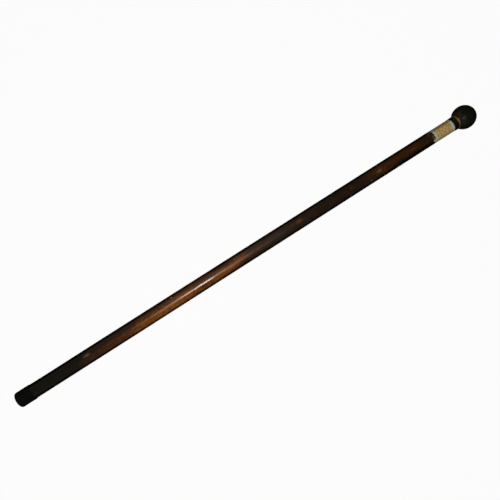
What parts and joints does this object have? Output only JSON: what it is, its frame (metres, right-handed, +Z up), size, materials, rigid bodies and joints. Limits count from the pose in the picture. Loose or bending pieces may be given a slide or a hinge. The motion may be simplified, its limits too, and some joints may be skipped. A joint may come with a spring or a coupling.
{
  "type": "walking cane",
  "caption": "Straight dark wooden walking cane with a black ball knob that screws off, a black neck collar over a paper label, and a black rubber tip that pulls off.",
  "frame": {"origin": "centre of the bounding box at floor level, with the cane lying at rest on its knob and its rubber tip", "axes": "+X along the cane from the foot to the knob, +Z up; the cane's own axis climbs 0.551 degrees from the tip to the knob"},
  "size_m": [0.89, 0.0416, 0.0416],
  "materials": {
    "stained_wood": "dark brown stained hardwood under a worn polish",
    "ebonised_wood": "black polish, semi-gloss, worn to brown near the neck",
    "collar_black": "black polish, semi-gloss",
    "washer_leather": "tan cut edge, waxed",
    "label_paper": "aged printed paper under varnish",
    "black_rubber": "matt black moulded rubber",
    "steel": "plain machined steel",
    "brass": "plain machined brass"
  },
  "bodies": {
    "stick": {"shaft": "stained_wood", "paper_label": "label_paper", "neck_collar": "collar_black", "knob_stud": "steel"},
    "foot": {"rubber_tip": "black_rubber", "tip_disc": "steel"},
    "washer": {"neck_washer": "washer_leather"},
    "knob": {"knob": "ebonised_wood", "knob_insert": "brass"}
  },
  "joints": [
    {"name": "tip_pull", "type": "slide", "parent": "stick", "child": "foot", "axis": [-1, 0, -0.0096], "range_m": [0, 0.0168]},
    {"name": "knob_lift", "type": "slide", "parent": "stick", "child": "washer", "axis": [1, 0, 0.0096], "range_m": [0, 0.0125]},
    {"name": "knob_turn", "type": "hinge", "parent": "washer", "child": "knob", "pos_m": [0.42418, 0, 0.0208], "axis": [1, 0, 0.0096], "range_deg": [0, 3600]}
  ],
  "couplings": [
    {"joint": "knob_lift", "follows": "knob_turn", "m_per_rad": 0.00019894}
  ]
}
